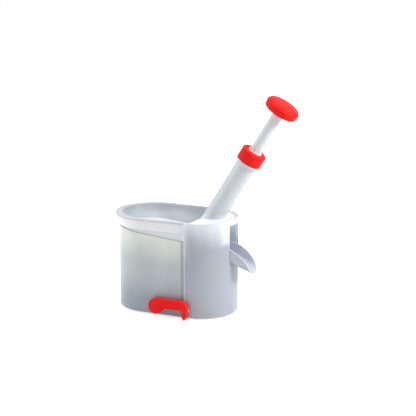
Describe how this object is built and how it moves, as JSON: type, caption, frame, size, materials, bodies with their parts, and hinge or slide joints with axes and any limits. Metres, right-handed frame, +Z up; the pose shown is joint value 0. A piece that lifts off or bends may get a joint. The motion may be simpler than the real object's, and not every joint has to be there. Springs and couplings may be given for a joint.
{
  "type": "cherry pitter",
  "caption": "Hand cherry pitter: tilted spring plunger over a hopper and cup, stone drawer, discharge chute and a suction foot worked by a small lever.",
  "frame": {"origin": "on the table, under the middle of the suction foot", "axes": "+Z up, +X towards the discharge chute, -Y towards the user and the suction lever"},
  "size_m": [0.2516, 0.1114, 0.2918],
  "materials": {
    "frosted_white": "frosted",
    "translucent_drawer": "translucent frosted",
    "white_bearing": "satin",
    "red_gloss": "gloss",
    "stainless": "bright",
    "rubber_clear": "matt",
    "rubber_foot": "matt"
  },
  "bodies": {
    "housing": {"housing_shell": "frosted_white", "hopper": "frosted_white", "deck": "frosted_white", "tube_cap": "red_gloss", "guide_bush": "white_bearing", "stripper_disc": "white_bearing", "pitting_cup": "frosted_white", "star_gasket": "rubber_clear", "gasket_ring": "frosted_white", "discharge_chute": "frosted_white", "base_tray": "white_bearing", "base_screws": "stainless", "suction_cup": "rubber_foot", "return_spring": "stainless"},
    "plunger": {"plunger_knob": "red_gloss", "plunger_stem": "white_bearing", "pitting_pin": "stainless"},
    "drawer": {"stone_drawer": "translucent_drawer"},
    "lever": {"suction_lever": "red_gloss", "cam_shaft": "white_bearing"},
    "stud": {"suction_stud": "white_bearing"}
  },
  "joints": [
    {"name": "plunger_push", "type": "slide", "parent": "housing", "child": "plunger", "axis": [-0.527, 0, -0.8499], "range_m": [0, 0.058], "stiffness_N_per_m": 450, "springref_m": -0.02, "deforming": ["return_spring"]},
    {"name": "drawer_slide", "type": "slide", "parent": "housing", "child": "drawer", "axis": [-1, 0, 0], "range_m": [0, 0.17]},
    {"name": "lever_turn", "type": "hinge", "parent": "housing", "child": "lever", "pos_m": [0, -0.0556, 0.012], "axis": [0, 1, 0], "range_deg": [0, 90]},
    {"name": "stud_lift", "type": "slide", "parent": "housing", "child": "stud", "axis": [0, 0, 1], "range_m": [0, 0.00213], "deforming": ["suction_cup"]}
  ],
  "couplings": [
    {"joint": "stud_lift", "follows": "lever_turn", "m_per_rad": 0.0013505}
  ]
}
